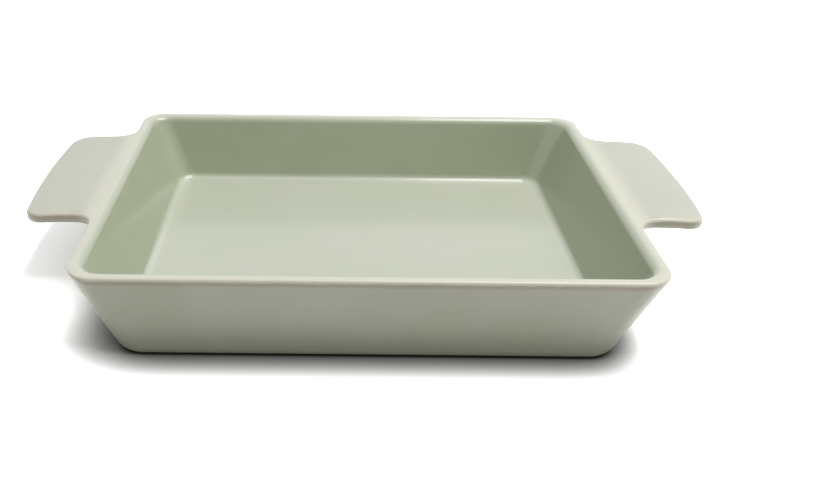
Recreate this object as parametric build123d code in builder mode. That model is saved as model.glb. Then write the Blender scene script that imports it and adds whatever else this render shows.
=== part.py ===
from build123d import *
import math
import os

# Lasagna dish: a pressed stoneware dish with two lug handles, fired with a coat of glaze.
# Millimetres. X runs along the length, Y runs from front to back, Z is up.
# The origin is the middle of the footprint, on the surface that the foot ring stands on.

# Walls and rim, measured over the glaze
rim_length = 330.0
rim_depth = 242.0
dish_height = 57.0
end_flare = 22.0
side_flare = 9.5
corner_radius = 17.0
wall_thickness = 8.0
rim_round = 2.6

# Inside
floor_level = 9.5
inside_corner_radius = 12.0
floor_round = 4.5

# Foot ring, and the recess inside it
foot_bevel = 3.5
foot_ring_width = 8.0
foot_recess = 2.5
recess_corner_radius = 9.0
recess_bevel = 0.8

# Lug handles: both sit a little behind the middle of the ends
handle_reach = 46.0
handle_length = 122.0
handle_setback = 14.0
handle_bow = 4.0
handle_thickness = 6.5
handle_tip_radius = 13.0
handle_level_run = 14.0
handle_droop = 2.5
handle_bevel = 1.5

# Hollow corners at a handle's roots and the cove under it, each with the degrees that it turns
root_radius = 13.0
root_turn = 74.0
root_depth = 3.0
cove_radius = 4.0
cove_turn = 52.0

# Glaze: its thickness, the height where it stops above the bare foot ring, and the small
# bevels that the clay's edges have before the glaze rounds them over
glaze_thickness = 0.5
glaze_line = 1.6
clay_bevel = 1.8

# How far a cut runs past what it cuts
overrun = 5.0

# Share of a face's normal that points up or down, for a face that counts as a top or an underside
top_share = 0.9
underside_share = 0.6

# Share of the straight wall beside a handle that its root corner may take
root_room_share = 0.9


def outer_size(level, coat):
    """Length and depth over the walls at a height, with the surface moved in by coat."""
    lean_share = 1 - level / dish_height
    length = rim_length - 2 * end_flare * lean_share - 2 * coat
    depth = rim_depth - 2 * side_flare * lean_share - 2 * coat
    return length, depth


def inner_size(level, coat):
    """Length and depth between the walls at a height, with the surface moved out by coat."""
    length, depth = outer_size(level, 0)
    walls = 2 * wall_thickness - 2 * coat
    return length - walls, depth - walls


def outline_of(faces):
    """The edges around a group of faces: those that only one of the faces has."""
    edges = faces.edges()
    return edges.filter_by(lambda edge: edges.count(edge) == 1)


def soften(edges, radius, coat):
    """Glaze rounds an edge; the clay under it has a small bevel."""
    if coat > 0:
        chamfer(edges, clay_bevel)
    else:
        fillet(edges, radius)


def flared_block(low, low_size, high, high_size, radius):
    """A block whose four sides lean in flat planes, with its upright corners rounded."""
    low_x, low_y = low_size[0] / 2, low_size[1] / 2
    high_x, high_y = high_size[0] / 2, high_size[1] / 2
    with BuildPart() as block:
        with BuildSketch(Plane.XZ):
            with BuildLine():
                Polyline((-low_x, low), (low_x, low), (high_x, high), (-high_x, high), close=True)
            make_face()
        extrude(amount=high_y, both=True)
        with BuildSketch(Plane.YZ):
            with BuildLine():
                Polyline((-low_y, low), (low_y, low), (high_y, high), (-high_y, high), close=True)
            make_face()
        extrude(amount=high_x, both=True, mode=Mode.INTERSECT)
        level_edges = block.faces().filter_by(Plane.XY).edges()
        fillet(block.edges().filter_by(lambda edge: edge not in level_edges), radius)
    return block.part


def wall_block(coat):
    """The dish as a solid block with flared walls, turned under at the foot."""
    base = coat - glaze_thickness
    top = dish_height - coat
    sides = flared_block(base, outer_size(base, coat), top, outer_size(top, coat), corner_radius - coat)
    with BuildPart() as block:
        add(sides)
        chamfer(block.faces().sort_by(Axis.Z)[0].edges(), foot_bevel - coat)
    return block.part


def lug_handle(coat):
    """The right handle: level with the rim, then bending down a little to a bowed tip."""
    top = dish_height - coat
    under = dish_height - handle_thickness + coat
    lean = end_flare / dish_height

    # Section: the cove under the slab runs on straight into the wall
    cove = cove_radius + coat
    cove_angle = math.radians(cove_turn)
    cove_end = under - cove * (1 - math.cos(cove_angle))
    wall_low = outer_size(cove_end, coat)[0] / 2
    cove_start = wall_low + cove * math.sin(cove_angle)
    inner = wall_low - wall_thickness / 2
    low = cove_end - (wall_low - inner) * math.tan(cove_angle)
    bend = rim_length / 2 + handle_level_run
    bend_run = handle_reach - handle_level_run
    bend_radius = (bend_run**2 + handle_droop**2) / (2 * handle_droop)
    bend_angle = math.degrees((bend_run + overrun) / bend_radius)

    # Plan: a bowed tip, and root corners that run on straight into the wall too
    wall_top = outer_size(top, coat)[0] / 2
    tip = rim_length / 2 + handle_reach - coat
    shoulder = tip - handle_bow
    half_width = handle_length / 2 - coat
    room = (rim_depth - handle_length) / 2 - corner_radius - handle_setback
    root = min(root_radius, root_room_share * room) + coat
    root_angle = math.radians(root_turn)
    root_start = wall_top + root * math.sin(root_angle)
    root_y = half_width + root * (1 - math.cos(root_angle))
    root_end = root_y + (wall_top - inner) * math.tan(root_angle)

    with BuildPart() as handle:
        with BuildSketch(Plane((0, handle_setback, low))) as plan:
            with BuildLine():
                Line((shoulder, half_width), (inner, half_width))
                Line((inner, half_width), (inner, -half_width))
                Line((inner, -half_width), (shoulder, -half_width))
                ThreePointArc((shoulder, -half_width), (tip, 0), (shoulder, half_width))
            make_face()
            fillet(plan.vertices().group_by(Axis.X)[-1], handle_tip_radius - coat)
        extrude(amount=top - low)

        # The root corners lean as the end wall does
        with BuildSketch(Plane((0, handle_setback, top))):
            with BuildLine():
                Line((root_start, -half_width), (root_start, half_width))
                behind = JernArc((root_start, half_width), (-1, 0), root, -root_turn)
                Line(behind @ 1, (inner, root_end))
                Line((inner, root_end), (inner, -root_end))
                ahead = JernArc((root_start, -half_width), (-1, 0), root, root_turn)
                Line((inner, -root_end), ahead @ 1)
            make_face()
        extrude(amount=(top - low) * math.hypot(1, lean), dir=(-lean, 0, -1))

        with BuildSketch(Plane.XZ):
            with BuildLine():
                Line((bend, under), (cove_start, under))
                hollow = JernArc((cove_start, under), (-1, 0), cove, cove_turn)
                Line(hollow @ 1, (inner, low))
                Line((inner, low), (inner, top))
                Line((inner, top), (bend, top))
                upper = JernArc((bend, top), (1, 0), bend_radius - coat, -bend_angle)
                lower = JernArc((bend, under), (1, 0), bend_radius - handle_thickness + coat, -bend_angle)
                Line(upper @ 1, lower @ 1)
            make_face()
        extrude(amount=rim_depth, both=True, mode=Mode.INTERSECT)

        # The handle goes this deep into the wall
        split(bisect_by=Plane((wall_top - root_depth, 0, top), z_dir=(1, 0, -lean)), keep=Keep.TOP)

        undersides = handle.faces().filter_by(lambda face: face.normal_at().Z < -underside_share)
        if coat == 0:
            chamfer(outline_of(undersides).filter_by(Axis.Y, reverse=True), handle_bevel)
    return handle.part


def cavity(coat):
    """The room inside the dish, with a floor that turns up softly into the walls."""
    floor = floor_level - coat
    mouth = dish_height + overrun
    radius = inside_corner_radius + coat
    sides = flared_block(floor, inner_size(floor, coat), mouth, inner_size(mouth, coat), radius)
    with BuildPart() as room:
        add(sides)
        fillet(room.faces().sort_by(Axis.Z)[0].edges(), floor_round + coat)
    return room.part


def dish_form(coat):
    """The whole dish above its foot, with every surface moved into the material by coat."""
    block = wall_block(coat)
    right_handle = lug_handle(coat)
    room = cavity(coat)
    with BuildPart() as form:
        add(block)
        add(right_handle)
        add(mirror(right_handle, about=Plane.YZ))
        add(room, mode=Mode.SUBTRACT)
        tops = form.faces().filter_by(
            lambda face: face.normal_at().Z > top_share and face.center().Z > dish_height / 2
        )
        soften(outline_of(tops), rim_round, coat)
    return form.part


def recess(coat):
    """The shallow hollow under the floor that leaves the foot ring standing."""
    length, depth = outer_size(0, 0)
    inset = 2 * (foot_bevel + foot_ring_width - coat)
    with BuildPart() as hollow:
        with BuildSketch(Plane.XY.offset(-overrun)):
            RectangleRounded(length - inset, depth - inset, recess_corner_radius + coat)
        extrude(amount=overrun + foot_recess + coat)
        if coat == 0:
            chamfer(hollow.faces().sort_by(Axis.Z)[-1].edges(), recess_bevel)
    return hollow.part


glazed_form = dish_form(0)
clay_form = dish_form(glaze_thickness)
glazed_recess = recess(0)
clay_recess = recess(glaze_thickness)

# The inside and outside coats meet along the middle of the walls
half_wall = wall_thickness / 2
seam_low = floor_level / 2
seam_high = dish_height + overrun
inside_of_walls = flared_block(
    seam_low,
    outer_size(seam_low, half_wall),
    seam_high,
    outer_size(seam_high, half_wall),
    corner_radius - half_wall,
)

# Fired clay: walls, floor, rim, handles and the bare foot ring in one piece
with BuildPart() as stoneware_body:
    add(clay_form)
    add(clay_recess, mode=Mode.SUBTRACT)
stoneware_body.part.label = "stoneware_body"

# Glaze on the floor, the inside of the walls and the inner half of the rim
with BuildPart() as liner_glaze:
    add(glazed_form)
    add(clay_form, mode=Mode.SUBTRACT)
    add(inside_of_walls, mode=Mode.INTERSECT)
liner_glaze.part.label = "liner_glaze"

# Glaze on the outside of the walls, the outer half of the rim and both handles
with BuildPart() as outer_glaze:
    add(glazed_form)
    add(clay_form, mode=Mode.SUBTRACT)
    add(inside_of_walls, mode=Mode.SUBTRACT)
    split(bisect_by=Plane.XY.offset(glaze_line), keep=Keep.TOP)
outer_glaze.part.label = "outer_glaze"

# Glaze in the recess under the floor
with BuildPart() as base_glaze:
    add(clay_recess)
    add(glazed_recess, mode=Mode.SUBTRACT)
    split(bisect_by=Plane.XY.offset(glaze_line), keep=Keep.TOP)
base_glaze.part.label = "base_glaze"

os.makedirs("parts", exist_ok=True)
export_step(stoneware_body.part, "parts/stoneware_body.step")
export_step(liner_glaze.part, "parts/liner_glaze.step")
export_step(outer_glaze.part, "parts/outer_glaze.step")
export_step(base_glaze.part, "parts/base_glaze.step")
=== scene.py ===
import math

import bpy
import numpy as np
from mathutils import Matrix, Vector


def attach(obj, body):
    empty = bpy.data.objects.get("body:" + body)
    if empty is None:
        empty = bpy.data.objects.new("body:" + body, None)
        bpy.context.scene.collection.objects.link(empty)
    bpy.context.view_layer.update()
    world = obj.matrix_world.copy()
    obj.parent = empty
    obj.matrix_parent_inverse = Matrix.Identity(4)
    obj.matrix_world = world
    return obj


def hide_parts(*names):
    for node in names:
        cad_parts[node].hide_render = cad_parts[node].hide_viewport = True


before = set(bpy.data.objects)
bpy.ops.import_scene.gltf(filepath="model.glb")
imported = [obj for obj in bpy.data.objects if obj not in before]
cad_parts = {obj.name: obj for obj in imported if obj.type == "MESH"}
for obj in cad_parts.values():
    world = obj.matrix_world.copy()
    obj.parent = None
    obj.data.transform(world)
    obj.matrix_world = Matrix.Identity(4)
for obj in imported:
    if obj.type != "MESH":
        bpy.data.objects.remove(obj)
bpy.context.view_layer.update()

# Sizes in millimetres, as in the solids. Meshes are scaled to metres when they are made.
MM = 0.001

# Walls: half the rim's length and depth, the height, how far the ends and sides lean out, the
# upright corners, and the thickness
RIM_X, RIM_Y, HEIGHT = 165.0, 121.0, 57.0
END_FLARE, SIDE_FLARE = 22.0, 9.5
CORNER, WALL = 17.0, 8.0
END_COS = math.cos(math.atan(END_FLARE / HEIGHT))
SIDE_COS = math.cos(math.atan(SIDE_FLARE / HEIGHT))

# Inside: the floor's level, the upright corners, and the round between floor and walls
FLOOR, INNER_CORNER, FLOOR_ROUND = 9.5, 12.0, 4.5

# Rounds of the rim, on its outside and its inside
RIM_ROUND, LIP_ROUND = 2.6, 3.9

# Foot: its round, and the height where the glaze stops
FOOT_ROUND, GLAZE_LINE = 5.5, 1.6

# Glaze: its thickness in the solids, and the thickness of the skins, which stay clear of the clay
GLAZE, COAT = 0.5, 0.47

# Handles: reach past the rim, half their length, how far behind the middle they sit, and the bow
# and corners of their tips
REACH, HALF_LUG, SETBACK = 46.0, 61.0, 14.0
BOW, TIP_CORNER = 4.0, 13.0
TIP_X = RIM_X + REACH
BOW_R = (HALF_LUG**2 + BOW**2) / (2 * BOW)
BOW_X = TIP_X - BOW_R

# Their thickness, the round of their lower edge, the hollow corners at their roots, and the cove
# under them, which grows from nothing as the handle stands out from the wall
LUG_THICK, EDGE_ROUND = 6.5, 1.2
ROOT, COVE, COVE_GROWTH = 13.0, 4.0, 0.5

# Their tops are level for a run and then bend down by the droop; the bend goes on past the tip
LEVEL_RUN, DROOP, PAST_TIP = 14.0, 2.5, 6.0
BEND_X = RIM_X + LEVEL_RUN
BEND_RUN = REACH - LEVEL_RUN
BEND_R = (BEND_RUN**2 + DROOP**2) / (2 * DROOP)

# meet() rounds a square corner to its radius. These two corners are a little blunter than
# square, and a smaller radius there gives the same depth of rounding.
CORNER_SHARE, TIP_SHARE = 0.93, 0.88

# Steps along the plan curves: a long side, an upright corner, a handle, the straight wall ahead of
# a handle and behind it, and the arcs and the bow that a handle's plan is made from
SIDE_STEPS, CORNER_STEPS, LUG_STEPS = 72, 14, 150
AHEAD_STEPS, BEHIND_STEPS = 8, 4
ARC_STEPS, BOW_STEPS = 24, 40

# Where a handle's stretch of the plan ends, from its middle: a little past its root
PAST_ROOT = 3.0
LUG_END = HALF_LUG + ROOT + PAST_ROOT

# Steps that a path is first cut into, before its rows are spread
FINE_STEPS = 600

# Rows of the outer skin: the flat of the rim, its outer round, the way under a handle or down the
# wall, the wall down to the foot, and those laid anew down to the glaze line
TOP_ROWS, EDGE_ROWS, UNDER_ROWS, WALL_ROWS, LINE_ROWS = 12, 8, 34, 34, 5

# Rows above the glaze line that are laid anew
ROWS_BACK = 4

# Rows of the liner, down the inner wall and onto the floor, and the rings on the floor, as shares
# of the last row
LIP_ROWS, FLOOR_ROWS = 36, 32
RING_SHARES = (0.9, 0.78, 0.64, 0.5, 0.36, 0.22, 0.1)

# Bends of the paths, where rows come closer: the corner's place in the path, width and weight
UNDER_BENDS = ((1, 2.6, 5.0), (2, 4.0, 2.0))
FOOT_BENDS = ((1, 5.0, 4.0),)
LIP_BENDS = ((1, 4.4, 6.0),)
FLOOR_BENDS = ((1, 4.5, 5.0),)

# What the paths pass: the height on the wall just below the handles and the corner radius under
# the foot, and how far up the inner wall and in on the floor the liner's paths reach from the
# corner between them, with the corner radius on the floor
BELOW_LUG, FOOT_CORNER = 42.0, 13.0
FLOOR_MARGIN, FLOOR_CORNER = 14.0, 4.0

# Distance from the wall within which the path leaves the handle's edge for the wall
LUG_BLEND = 6.0

# The rim's colour comes in from this far outside the wall, on a handle, to this far inside it
RIM_COLOUR_FROM, RIM_COLOUR_TO = -9.0, 1.5


def meet(a, b, r):
    """Both shapes at once, their shared edge rounded to radius r."""
    return np.minimum(-r, np.maximum(a, b)) + np.hypot(np.maximum(a + r, 0), np.maximum(b + r, 0))


def join(a, b, r):
    """Either shape, the hollow corner between them filled to radius r."""
    return np.maximum(r, np.minimum(a, b)) - np.hypot(np.maximum(r - a, 0), np.maximum(r - b, 0))


def top_level(x):
    """Height of the rim and of the handles' tops, which bend down a little to their tips."""
    run = np.clip(np.abs(x) - BEND_X, 0, BEND_RUN + PAST_TIP)
    return HEIGHT - (BEND_R - np.sqrt(BEND_R**2 - run**2))


def leaned_walls(x, y, z, inset, radius):
    """Distance to the four leaned walls, moved in by inset."""
    end = (np.abs(x) - RIM_X + inset + (HEIGHT - z) * END_FLARE / HEIGHT) * END_COS
    side = (np.abs(y) - RIM_Y + inset + (HEIGHT - z) * SIDE_FLARE / HEIGHT) * SIDE_COS
    return meet(end, side, radius)


def walls(x, y, z):
    """Distance to the outside of the walls."""
    return leaned_walls(x, y, z, 0, CORNER * CORNER_SHARE)


def room(x, y, z):
    """Distance to the room inside the dish."""
    return meet(leaned_walls(x, y, z, WALL, INNER_CORNER), FLOOR - z, FLOOR_ROUND)


def lug_plan(x, y):
    """Distance to the outline of the handles in plan."""
    tip = np.hypot(np.abs(x) - BOW_X, y - SETBACK) - BOW_R
    flank = np.abs(y - SETBACK) - HALF_LUG
    return meet(tip, flank, TIP_CORNER * TIP_SHARE)


def dish(p):
    """Distance to the glazed surface of the whole dish."""
    x, y, z = p[:, 0], p[:, 1], p[:, 2]
    top = top_level(x)
    wall = walls(x, y, z)
    plan = join(wall, lug_plan(x, y), ROOT)
    slab = meet(plan, top - LUG_THICK - z, EDGE_ROUND)
    cove = np.clip(COVE_GROWTH * (wall - plan), 0, COVE)
    outside = join(wall, slab, cove)
    outside = meet(outside, -(z + GLAZE), FOOT_ROUND)
    form = meet(outside, z - top, RIM_ROUND)
    return meet(form, -room(x, y, z), LIP_ROUND)


def slope(field, p, step=0.02):
    """How fast the field grows at each point, along x, y and z."""
    g = np.empty_like(p)
    for k in range(3):
        d = np.zeros(3)
        d[k] = step
        g[:, k] = (field(p + d) - field(p - d)) / (2 * step)
    return g


def settle(rows, rounds=7, least=0.2, level=False):
    """Moves rows of points onto the surface of the dish, each at its own height if level."""
    p = rows.reshape(-1, 3)
    for _ in range(rounds):
        g = slope(dish, p)
        if level:
            g[:, 2] = 0
        steepness = np.maximum((g * g).sum(1), least)
        p = p - (dish(p) / steepness)[:, None] * g
    return p.reshape(rows.shape)


def smoothstep(low, high, v):
    """Goes smoothly from 0 at low to 1 at high."""
    t = np.clip((v - low) / (high - low), 0, 1)
    return t * t * (3 - 2 * t)


def arc(cx, cy, r, a):
    """Points on a circle, at the angles a."""
    return np.stack([cx + r * np.cos(a), cy + r * np.sin(a)], 1)


def corner_arc(cx, cy, start):
    """Points on an upright corner, from a start in degrees."""
    a = np.radians(start + 90.0 * (np.arange(CORNER_STEPS) + 0.5) / CORNER_STEPS)
    return arc(cx, cy, CORNER, a)


def resample(line, count):
    """count + 1 points at even steps along a line of points."""
    seg = np.hypot(*np.diff(line, axis=0).T)
    s = np.concatenate([[0], np.cumsum(seg)])
    t = np.linspace(0, s[-1], count + 1)
    return np.stack([np.interp(t, s, line[:, 0]), np.interp(t, s, line[:, 1])], 1)


def lug_outline():
    """The plan of the right handle, from the wall ahead of it to the wall behind it."""
    a = np.linspace(0, math.pi / 2, ARC_STEPS)
    root_x, root_y = RIM_X + ROOT, HALF_LUG + ROOT
    root = np.stack([root_x - ROOT * np.cos(a), root_y - ROOT * np.sin(a)], 1)
    # The tip's corner touches the flank and the bowed tip
    cy = HALF_LUG - TIP_CORNER
    cx = BOW_X + math.sqrt((BOW_R - TIP_CORNER) ** 2 - cy**2)
    turn = math.atan2(cy, cx - BOW_X)
    corner = arc(cx, cy, TIP_CORNER, np.linspace(math.pi / 2, turn, ARC_STEPS))
    bow = arc(BOW_X, 0, BOW_R, np.linspace(turn, 0, BOW_STEPS))
    back_half = np.concatenate([[[RIM_X, LUG_END]], root, corner, bow[1:]])
    front_half = back_half[::-1][1:] * [1, -1]
    line = np.concatenate([back_half, front_half])[::-1]
    return resample(line, LUG_STEPS) + [0, SETBACK]


def plan_curves():
    """Matching closed curves round the dish: outline with handles, and the wall at the rim."""
    cx, cy = RIM_X - CORNER, RIM_Y - CORNER
    lug_front, lug_back = SETBACK - LUG_END, SETBACK + LUG_END
    ahead = np.linspace(-cy, lug_front, AHEAD_STEPS, endpoint=False)
    beside = np.linspace(lug_front, lug_back, LUG_STEPS + 1)[:-1]
    behind = np.linspace(lug_back, cy, BEHIND_STEPS + 1)
    ahead, beside, behind = (np.stack([RIM_X + 0 * y, y], 1) for y in (ahead, beside, behind))
    right_out = np.concatenate([ahead, lug_outline()[:-1], behind])
    right_wall = np.concatenate([ahead, beside, behind])
    x = np.linspace(cx, -cx, SIDE_STEPS + 1)
    back = np.stack([x, RIM_Y + 0 * x], 1)
    curves = []
    for right in (right_out, right_wall):
        curves.append(np.concatenate([
            right,
            corner_arc(cx, cy, 0),
            back,
            corner_arc(-cx, cy, 90),
            (right * [-1, 1])[::-1],
            corner_arc(-cx, -cy, 180),
            -back,
            corner_arc(cx, -cy, 270),
        ]))
    return curves


OUTLINE, WALL_LINE = plan_curves()
COUNT = len(OUTLINE)


def lift(plan, z):
    """Plan points at a height, or each at its own."""
    return np.stack([plan[:, 0], plan[:, 1], np.broadcast_to(z, (COUNT,))], 1)


def wall_at(z, in_by=0.0, radius=CORNER):
    """The wall line at a height, moved in and with another corner radius. Each point keeps its
    share of its stretch."""
    drop = (HEIGHT - z) / HEIGHT
    moved = []
    for v, half, flare in zip(WALL_LINE.T, (RIM_X, RIM_Y), (END_FLARE, SIDE_FLARE)):
        straight = half - CORNER
        new_straight = half - (drop * flare + in_by) - radius
        on_corner = np.sign(v) * (new_straight + (np.abs(v) - straight) * radius / CORNER)
        moved.append(np.where(np.abs(v) <= straight, v * new_straight / straight, on_corner))
    return lift(np.stack(moved, 1), z)


# The outer skin and the liner meet here, on the middle of the rim
SEAM = wall_at(HEIGHT, WALL / 2, CORNER - WALL / 2)


def rows_along(corners, bends, count):
    """count + 1 rows of points on paths with these corners, closer together at the bends."""
    pts = np.stack(corners, 1)
    seg = np.linalg.norm(np.diff(pts, axis=1), axis=2)
    start = np.zeros((COUNT, 1))
    s = np.concatenate([start, np.cumsum(seg, 1)], 1)
    pos = np.linspace(0, 1, FINE_STEPS + 1)[None, :] * s[:, -1:]
    density = np.ones_like(pos)
    for index, width, weight in bends:
        density += weight * np.exp(-(((pos - s[:, index:index + 1]) / width) ** 2))
    filled = np.concatenate([start, np.cumsum((density[:, 1:] + density[:, :-1]) / 2, 1)], 1)
    filled /= filled[:, -1:]
    targets = np.linspace(0, 1, count + 1)
    rows = np.empty((count + 1, COUNT, 3))
    for i in range(COUNT):
        where = np.interp(targets, filled[i], pos[i])
        for k in range(3):
            rows[:, i, k] = np.interp(where, s[i], pts[i, :, k])
    return rows


def outward_normals(line):
    """Outward normals of a closed plan curve."""
    ahead = np.roll(line, -1, 0) - np.roll(line, 1, 0)
    n = np.stack([ahead[:, 1], -ahead[:, 0]], 1)
    return n / np.linalg.norm(n, axis=1)[:, None]


def outer_rows():
    """Rows from the seam over the rim and handles, and down the wall to the glaze line."""
    out = outward_normals(OUTLINE)
    rim = OUTLINE - RIM_ROUND * out
    rim_top = lift(rim, top_level(rim[:, 0]))
    flat = np.array([SEAM + t * (rim_top - SEAM) for t in np.linspace(0, 1, TOP_ROWS)])
    flat[:, :, 2] = top_level(flat[:, :, 0])
    edge = []
    for a in np.linspace(0, math.pi / 2, EDGE_ROWS + 1)[1:]:
        plan = rim + RIM_ROUND * math.sin(a) * out
        edge.append(lift(plan, top_level(plan[:, 0]) - RIM_ROUND * (1 - math.cos(a))))
    # Where there is no handle the path runs straight down the wall
    under_z = top_level(OUTLINE[:, 0]) - LUG_THICK
    wall_under = wall_at(under_z)
    from_wall = np.linalg.norm(OUTLINE - WALL_LINE, axis=1)
    share = smoothstep(0.0, LUG_BLEND, from_wall)[:, None]
    low_edge = share * lift(OUTLINE, under_z) + (1 - share) * wall_under
    below = wall_at(BELOW_LUG)
    under = rows_along([edge[-1], low_edge, wall_under, below], UNDER_BENDS, UNDER_ROWS)[1:]
    foot_edge = wall_at(-GLAZE)
    foot = wall_at(-GLAZE, FOOT_ROUND, FOOT_CORNER)
    down = rows_along([below, foot_edge, foot], FOOT_BENDS, WALL_ROWS)[1:]
    rows = settle(np.concatenate([flat, edge, under, down]))
    # The last rows are laid anew, to end level on the glaze line
    first_low = np.argmax(rows[:, :, 2] < GLAZE_LINE, 0).min()
    last = first_low - ROWS_BACK
    line_rows = np.array([rows[last]] * LINE_ROWS)
    for k, row in enumerate(line_rows, 1):
        row[:, 2] += k / LINE_ROWS * (GLAZE_LINE - row[:, 2])
    line_rows = settle(line_rows, rounds=8, least=0.05, level=True)
    return np.concatenate([rows[:last + 1], line_rows])


def liner_rows():
    """Rows from the seam over the lip and down the inner wall, and rings on the floor."""
    lip = wall_at(HEIGHT, WALL, INNER_CORNER)
    low = wall_at(FLOOR + FLOOR_MARGIN, WALL, INNER_CORNER)
    corner = wall_at(FLOOR, WALL, INNER_CORNER)
    floor_edge = wall_at(FLOOR, WALL + FLOOR_MARGIN, FLOOR_CORNER)
    upper = rows_along([SEAM, lip, low], LIP_BENDS, LIP_ROWS)
    lower = rows_along([low, corner, floor_edge], FLOOR_BENDS, FLOOR_ROWS)[1:]
    rows = settle(np.concatenate([upper, lower]))
    rows[0] = SEAM
    rings = [rows[-1] * [t, t, 1] for t in RING_SHARES]
    return np.concatenate([rows, rings])


def coat_faces(n_rows, close_middle):
    """Faces of a coat: its surface, the copy inside it, and what closes its edges or its middle."""
    size = n_rows * COUNT
    last = size - COUNT
    i = np.arange(COUNT)
    j = (i + 1) % COUNT
    faces = []
    for a in range(0, last, COUNT):
        b = a + COUNT
        quads = np.stack([a + i, a + j, b + j, b + i], 1)
        faces += [quads, quads[:, ::-1] + size]
    faces.append(np.stack([i, i + size, j + size, j], 1))
    if not close_middle:
        faces.append(np.stack([last + i, last + j, last + j + size, last + i + size], 1))
    faces = np.concatenate(faces).tolist()
    if close_middle:
        faces.append((last + i).tolist())
        faces.append((last + size + i)[::-1].tolist())
    return faces


def keep_edges_crisp(mesh, n_rows, open_rows):
    """The open edges of a coat stay crisp, so that two coats meet without a line."""
    size = n_rows * COUNT
    ends = np.zeros(len(mesh.edges) * 2, int)
    mesh.edges.foreach_get("vertices", ends)
    ends = ends.reshape(-1, 2)
    row = (ends % size) // COUNT
    same_copy = (ends[:, 0] >= size) == (ends[:, 1] >= size)
    on_open_row = np.any([(row == k).all(1) for k in open_rows], 0)
    layer = mesh.attributes.new("sharp_edge", "BOOLEAN", "EDGE")
    layer.data.foreach_set("value", same_copy & on_open_row)


def face_outward(mesh):
    """Turns the faces over where those of the surface look into the clay."""
    normals = np.zeros(len(mesh.polygons) * 3)
    mesh.polygons.foreach_get("normal", normals)
    centers = np.zeros(len(mesh.polygons) * 3)
    mesh.polygons.foreach_get("center", centers)
    size = len(mesh.vertices) // 2
    on_surface = np.array([max(face.vertices) < size for face in mesh.polygons])
    outward = slope(dish, centers.reshape(-1, 3)[on_surface] / MM)
    agree = (outward * normals.reshape(-1, 3)[on_surface]).sum(1)
    if (agree < 0).sum() > len(agree) / 2:
        mesh.flip_normals()


def attribute(mesh, name, values):
    """A value for each point of the surface and of the copy inside it, for the materials."""
    layer = mesh.attributes.new(name, "FLOAT", "POINT")
    layer.data.foreach_set("value", np.tile(values, 2).astype(np.float32))


def add_object(name, data):
    """A new object in the scene."""
    obj = bpy.data.objects.new(name, data)
    bpy.context.scene.collection.objects.link(obj)
    return obj


def skin(name, rows, close_middle):
    """A closed coat of glaze, and the points of its surface. Its attributes say how far below the
    top each point is and how much it faces up."""
    points = rows.reshape(-1, 3)
    normals = slope(dish, points)
    normals /= np.linalg.norm(normals, axis=1)[:, None]
    verts = np.concatenate([points, points - COAT * normals]) * MM
    mesh = bpy.data.meshes.new(name)
    mesh.from_pydata(verts.tolist(), [], coat_faces(len(rows), close_middle))
    mesh.update()
    mesh.shade_smooth()
    keep_edges_crisp(mesh, len(rows), [0] if close_middle else [0, len(rows) - 1])
    face_outward(mesh)
    attribute(mesh, "depth", top_level(points[:, 0]) - points[:, 2])
    attribute(mesh, "facing_up", normals[:, 2])
    return add_object(name, mesh), points


outer, outer_points = skin("outer_glaze_skin", outer_rows(), close_middle=False)
liner, _ = skin("liner_glaze_skin", liner_rows(), close_middle=True)
inside_wall = -walls(*outer_points.T)
attribute(outer.data, "rim", smoothstep(RIM_COLOUR_FROM, RIM_COLOUR_TO, inside_wall))

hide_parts("outer_glaze")
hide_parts("liner_glaze")
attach(outer, "root")
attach(liner, "root")


def srgb(r, g, b):
    """A colour written as on a screen, from 0 to 255, as the linear values that shaders take."""
    def linear(v):
        v /= 255.0
        return v / 12.92 if v <= 0.04045 else ((v + 0.055) / 1.055) ** 2.4
    return (linear(r), linear(g), linear(b), 1.0)


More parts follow.
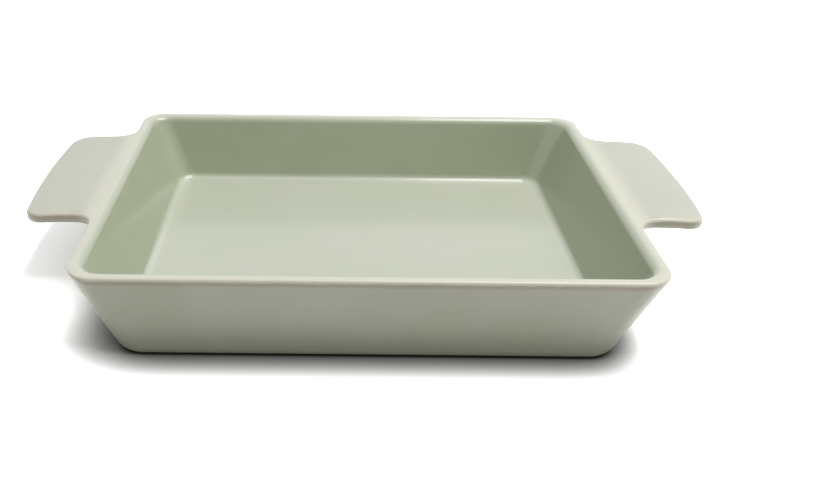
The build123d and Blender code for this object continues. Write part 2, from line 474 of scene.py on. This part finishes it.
class Nodes:
    """The node tree of a material or of the world."""

    def __init__(self, owner):
        self.owner = owner
        owner.use_nodes = True
        self.tree = owner.node_tree
        self.tree.nodes.clear()

    def feed(self, socket, value):
        """A constant is set on the socket itself, and anything else is linked to it."""
        if isinstance(value, (int, float, tuple)):
            socket.default_value = value
        else:
            self.tree.links.new(value, socket)

    def add(self, kind, inputs=(), **settings):
        """A node with its settings made and its inputs fed."""
        node = self.tree.nodes.new(kind)
        for key, value in settings.items():
            setattr(node, key, value)
        for key, value in dict(inputs).items():
            self.feed(node.inputs[key], value)
        return node

    def value_of(self, name):
        """A mesh attribute."""
        node = self.add("ShaderNodeAttribute", attribute_type="GEOMETRY", attribute_name=name)
        return node.outputs["Fac"]

    def noise(self, scale, detail=3.0, roughness=0.5, distortion=0.0, stretch=None):
        """Noise that stays with the object; the scale is per metre."""
        place = self.add("ShaderNodeTexCoord").outputs["Object"]
        if stretch:
            inputs = {"Vector": place, "Scale": stretch}
            place = self.add("ShaderNodeMapping", inputs).outputs["Vector"]
        inputs = {"Vector": place, "Scale": scale, "Detail": detail}
        inputs |= {"Roughness": roughness, "Distortion": distortion}
        return self.add("ShaderNodeTexNoise", inputs).outputs["Fac"]

    def ramp(self, value, low, high, out_low=0.0, out_high=1.0, smooth=True):
        """Turns values between low and high into values between out_low and out_high."""
        inputs = {"Value": value, "From Min": low, "From Max": high}
        inputs |= {"To Min": out_low, "To Max": out_high}
        kind = "SMOOTHSTEP" if smooth else "LINEAR"
        return self.add("ShaderNodeMapRange", inputs, interpolation_type=kind).outputs["Result"]

    def math(self, kind, a, b):
        """Arithmetic on two values."""
        return self.add("ShaderNodeMath", {0: a, 1: b}, operation=kind).outputs["Value"]

    def band(self, value, start, rise, fall, end):
        """1 between rise and fall, and 0 before start and after end."""
        before_end = self.ramp(value, fall, end, 1.0, 0.0)
        return self.math("MULTIPLY", self.ramp(value, start, rise), before_end)

    def mix(self, share, a, b):
        """The colour a with this share of the colour b."""
        node = self.add("ShaderNodeMix", {0: share}, data_type="RGBA")
        for socket, value in zip([s for s in node.inputs if s.type == "RGBA"], (a, b)):
            self.feed(socket, value)
        return [s for s in node.outputs if s.type == "RGBA"][0]

    def bump(self, height, distance, strength, under=None):
        """Unevenness of the surface, on top of another one; the distance is in metres."""
        inputs = {"Height": height, "Distance": distance, "Strength": strength}
        if under is not None:
            inputs["Normal"] = under
        return self.add("ShaderNodeBump", inputs).outputs["Normal"]

    def seen(self):
        """1 for rays from the camera and those that show the background in gloss or glass."""
        rays = self.add("ShaderNodeLightPath").outputs
        through = self.math("MAXIMUM", rays["Is Camera Ray"], rays["Is Transmission Ray"])
        return self.math("MAXIMUM", through, rays["Is Glossy Ray"])

    def output(self, kind, shader):
        """Ends the tree, and gives back the material or the world."""
        self.add(kind, {"Surface": shader})
        return self.owner

    def surface(self, colour, roughness, normal, **constants):
        """The finished material: a Principled BSDF, with its constants on its own sockets."""
        inputs = {"Base Color": colour, "Roughness": roughness, "Normal": normal}
        inputs |= {name.replace("_", " "): value for name, value in constants.items()}
        shader = self.add("ShaderNodeBsdfPrincipled", inputs).outputs["BSDF"]
        return self.output("ShaderNodeOutputMaterial", shader)


def material_nodes(name):
    return Nodes(bpy.data.materials.new(name))


def outer_glaze_material():
    """Satin glaze, cream where it breaks over an edge, with a thin brown line below that."""
    n = material_nodes("outer_satin_glaze")
    depth = n.value_of("depth")
    up = n.value_of("facing_up")
    cloud = n.noise(14.0, 4.0, 0.55, 0.6)
    streak = n.noise(30.0, 3.0, 0.5, 0.3, stretch=(1.0, 1.0, 0.22))
    fine = n.noise(420.0, 2.0, 0.6)
    wobble = n.ramp(n.noise(90.0, 3.0, 0.55), 0.3, 0.7, -0.35, 0.35, smooth=False)
    uneven_depth = n.math("ADD", depth, wobble)

    # Walls: clouds and upright streaks, and painted shade that makes them darker toward the foot
    wall = n.mix(n.ramp(depth, 5.0, 50.0), srgb(187, 189, 170), srgb(184, 189, 167))
    wall = n.mix(n.ramp(cloud, 0.38, 0.64, out_high=0.5), wall, srgb(176, 181, 158))
    wall = n.mix(n.ramp(streak, 0.42, 0.66, out_high=0.4), wall, srgb(193, 195, 180))
    # Painted shade: the wall's colour darkens toward the foot, where little light reaches it
    wall = n.mix(n.ramp(depth, 28.0, 60.0), wall, srgb(163, 168, 145))

    # Tops of the handles and the rim, which is paler
    top = n.mix(n.ramp(cloud, 0.35, 0.65), srgb(194, 196, 183), srgb(198, 200, 186))
    colour = n.mix(n.ramp(up, 0.25, 0.8), wall, top)
    rim = n.math("MULTIPLY", n.value_of("rim"), n.ramp(up, 0.3, 0.9, out_high=0.85))
    colour = n.mix(rim, colour, srgb(216, 216, 201))

    # Cream edge
    cream = n.ramp(uneven_depth, 1.2, 2.3, 1.0, 0.0)
    cream = n.math("MULTIPLY", cream, n.ramp(up, 0.999, 0.93))
    colour = n.mix(n.math("MULTIPLY", cream, 0.7), colour, srgb(222, 217, 199))

    # Brown line below it, and fine specks
    brown = n.band(uneven_depth, start=1.3, rise=2.4, fall=3.2, end=5.2)
    brown = n.math("MULTIPLY", brown, n.ramp(up, 0.75, 0.45))
    colour = n.mix(n.math("MULTIPLY", brown, 0.62), colour, srgb(152, 138, 113))
    colour = n.mix(n.ramp(fine, 0.62, 0.74, out_high=0.12), colour, srgb(140, 136, 118))

    roughness = n.ramp(cloud, 0.3, 0.7, 0.36, 0.46)
    waves = n.bump(n.noise(26.0, 2.0, 0.45), 0.0006, 0.5)
    normal = n.bump(fine, 0.00006, 0.5, under=waves)
    return n.surface(colour, roughness, normal, IOR=1.5, Coat_Weight=0.15, Coat_Roughness=0.25)


def liner_material():
    """Glossy glaze, greener on the walls, paler on the floor and the lip."""
    n = material_nodes("liner_gloss_glaze")
    depth = n.value_of("depth")
    up = n.value_of("facing_up")
    cloud = n.noise(11.0, 3.0, 0.5, 0.5)
    fine = n.noise(500.0, 2.0, 0.6)
    wobble = n.ramp(n.noise(70.0, 3.0, 0.5), 0.3, 0.7, -0.5, 0.5, smooth=False)
    uneven_depth = n.math("ADD", depth, wobble)

    # Walls and floor, with clouds
    body = n.mix(n.ramp(up, 0.5, 0.95), srgb(174, 182, 157), srgb(198, 202, 187))
    body = n.mix(n.ramp(cloud, 0.36, 0.66, out_high=0.3), body, srgb(188, 196, 174))

    # Painted highlight: paler colour in the round of the floor, low in the dish, standing in for the
    # light's reflection there
    painted_highlight = n.band(up, start=0.6, rise=0.78, fall=0.97, end=0.999)
    painted_highlight = n.math("MULTIPLY", painted_highlight, n.ramp(depth, 20.0, 30.0))
    body = n.mix(n.math("MULTIPLY", painted_highlight, 0.2), body, srgb(230, 232, 222))

    # Pale lip, and fine specks
    pale = n.ramp(uneven_depth, 0.2, 3.4, 1.0, 0.0)
    pale = n.math("MULTIPLY", pale, n.ramp(up, 0.84, 0.998, 0.1, 1.0))
    colour = n.mix(pale, body, srgb(212, 213, 198))
    colour = n.mix(n.ramp(fine, 0.66, 0.76, out_high=0.08), colour, srgb(160, 160, 138))

    roughness = n.ramp(cloud, 0.3, 0.7, 0.16, 0.24)
    waves = n.bump(n.noise(18.0, 2.0, 0.4), 0.0008, 0.5)
    return n.surface(colour, roughness, waves, IOR=1.48, Coat_Weight=0.2, Coat_Roughness=0.1)


def clay_material():
    """Bare fired clay of the foot ring."""
    n = material_nodes("bare_fired_clay")
    grain = n.noise(900.0, 3.0, 0.6)
    cloud = n.noise(40.0, 3.0, 0.5)
    colour = n.mix(n.ramp(cloud, 0.35, 0.65), srgb(196, 176, 148), srgb(182, 160, 131))
    colour = n.mix(n.ramp(grain, 0.6, 0.72, out_high=0.5), colour, srgb(126, 104, 80))
    roughness = n.ramp(grain, 0.3, 0.7, 0.78, 0.92)
    return n.surface(colour, roughness, n.bump(grain, 0.0001, 0.8))


def base_material():
    """Satin glaze in the recess under the floor."""
    n = material_nodes("base_satin_glaze")
    cloud = n.noise(16.0, 4.0, 0.55, 0.6)
    fine = n.noise(420.0, 2.0, 0.6)
    colour = n.mix(n.ramp(cloud, 0.36, 0.66), srgb(176, 180, 162), srgb(162, 167, 149))
    colour = n.mix(n.ramp(fine, 0.62, 0.74, out_high=0.2), colour, srgb(140, 132, 112))
    roughness = n.ramp(cloud, 0.3, 0.7, 0.36, 0.48)
    waves = n.bump(n.noise(30.0, 3.0, 0.5), 0.0005, 0.6)
    return n.surface(colour, roughness, waves, IOR=1.5)


def assign(obj, material):
    """Puts a material in every slot of an object, or in a first slot if it has none."""
    if not obj.data.materials:
        obj.data.materials.append(material)
    for k in range(len(obj.data.materials)):
        obj.data.materials[k] = material


assign(outer, outer_glaze_material())
assign(liner, liner_material())
assign(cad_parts["stoneware_body"], clay_material())
assign(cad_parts["base_glaze"], base_material())

# The table: grey for the light it throws back and bright where it is seen, but painted shadow makes
# it dark within a few centimetres of the dish. Lengths from here on are in metres.
TABLE_HALF = 4.0
TABLE_GREY = (0.42, 0.42, 0.42, 1)
TABLE_SEEN, TABLE_PAINTED_SHADOW = (2.7, 2.68, 2.74, 1), (0.03, 0.029, 0.026, 1)
CONTACT_REACH, CONTACT_FALL = 0.03, 3.0

# The world: strength for the light on the dish, and where it is seen
WORLD_LIGHT, WORLD_SEEN = 0.38, 1.0


def table_material():
    """A plain pale floor that keeps the shadow of the dish."""
    n = material_nodes("pale_floor")
    # Painted contact shadow: the colour seen on the table darkens where the dish is close
    close = n.add("ShaderNodeAmbientOcclusion", {"Distance": CONTACT_REACH})
    open_share = n.math("POWER", close.outputs["AO"], CONTACT_FALL)
    shown = n.mix(open_share, TABLE_PAINTED_SHADOW, TABLE_SEEN)
    diffuse = n.add("ShaderNodeBsdfDiffuse", {"Color": n.mix(n.seen(), TABLE_GREY, shown)})
    return n.output("ShaderNodeOutputMaterial", diffuse.outputs["BSDF"])


def studio_world():
    """Plain soft light from all sides, and white where it is seen."""
    n = Nodes(bpy.data.worlds.new("studio"))
    strength = n.ramp(n.seen(), 0.0, 1.0, WORLD_LIGHT, WORLD_SEEN, smooth=False)
    back = n.add("ShaderNodeBackground", {"Color": (1, 1, 1, 1), "Strength": strength})
    return n.output("ShaderNodeOutputWorld", back.outputs["Background"])


table_mesh = bpy.data.meshes.new("pale_floor")
table_corners = [(x * TABLE_HALF, y * TABLE_HALF, 0) for x, y in ((-1, -1), (1, -1), (1, 1), (-1, 1))]
table_mesh.from_pydata(table_corners, [], [(0, 1, 2, 3)])
table_mesh.materials.append(table_material())
table = add_object("pale_floor", table_mesh)

bpy.context.scene.world = studio_world()

# One soft light from above and to the right, which looks at the dish
KEY_PLACE, KEY_SIZE = (0.6, -0.02, 1.8), (1.5, 0.8)
KEY_POWER, KEY_COLOUR = 27.3, (1.0, 0.99, 0.975)

key_data = bpy.data.lights.new("key", "AREA")
key_data.shape = "RECTANGLE"
key_data.size, key_data.size_y = KEY_SIZE
key_data.energy = KEY_POWER
key_data.color = KEY_COLOUR
key = add_object("key", key_data)
key.location = KEY_PLACE
key.rotation_euler = (-Vector(KEY_PLACE)).to_track_quat("-Z", "Y").to_euler()

# The camera, as the photo's outlines give it: focal length, image width and the column straight
# ahead in pixels, and pitch and roll in radians
FOCAL, IMAGE_WIDTH, AHEAD_COLUMN = 850.0, 825.0, 331.7
SENSOR_WIDTH, CLIP_START = 36.0, 0.01
PITCH, ROLL = 0.5216, 0.0104
CAMERA_PLACE = Vector((-0.02017, -0.49980, 0.29699))

cam_data = bpy.data.cameras.new("camera")
cam_data.sensor_fit = "HORIZONTAL"
cam_data.sensor_width = SENSOR_WIDTH
cam_data.lens = FOCAL / IMAGE_WIDTH * SENSOR_WIDTH
cam_data.shift_x = (IMAGE_WIDTH / 2 - AHEAD_COLUMN) / IMAGE_WIDTH
cam_data.clip_start = CLIP_START
cam = add_object("camera", cam_data)

forward = Vector((0, math.cos(PITCH), -math.sin(PITCH)))
level_right = Vector((1, 0, 0))
level_up = level_right.cross(forward)
right = math.cos(ROLL) * level_right + math.sin(ROLL) * level_up
up = math.cos(ROLL) * level_up - math.sin(ROLL) * level_right
turn = Matrix((right, up, -forward)).transposed().to_4x4()
cam.matrix_world = Matrix.Translation(CAMERA_PLACE) @ turn
bpy.context.scene.camera = cam
bpy.context.scene.view_settings.view_transform = "Standard"
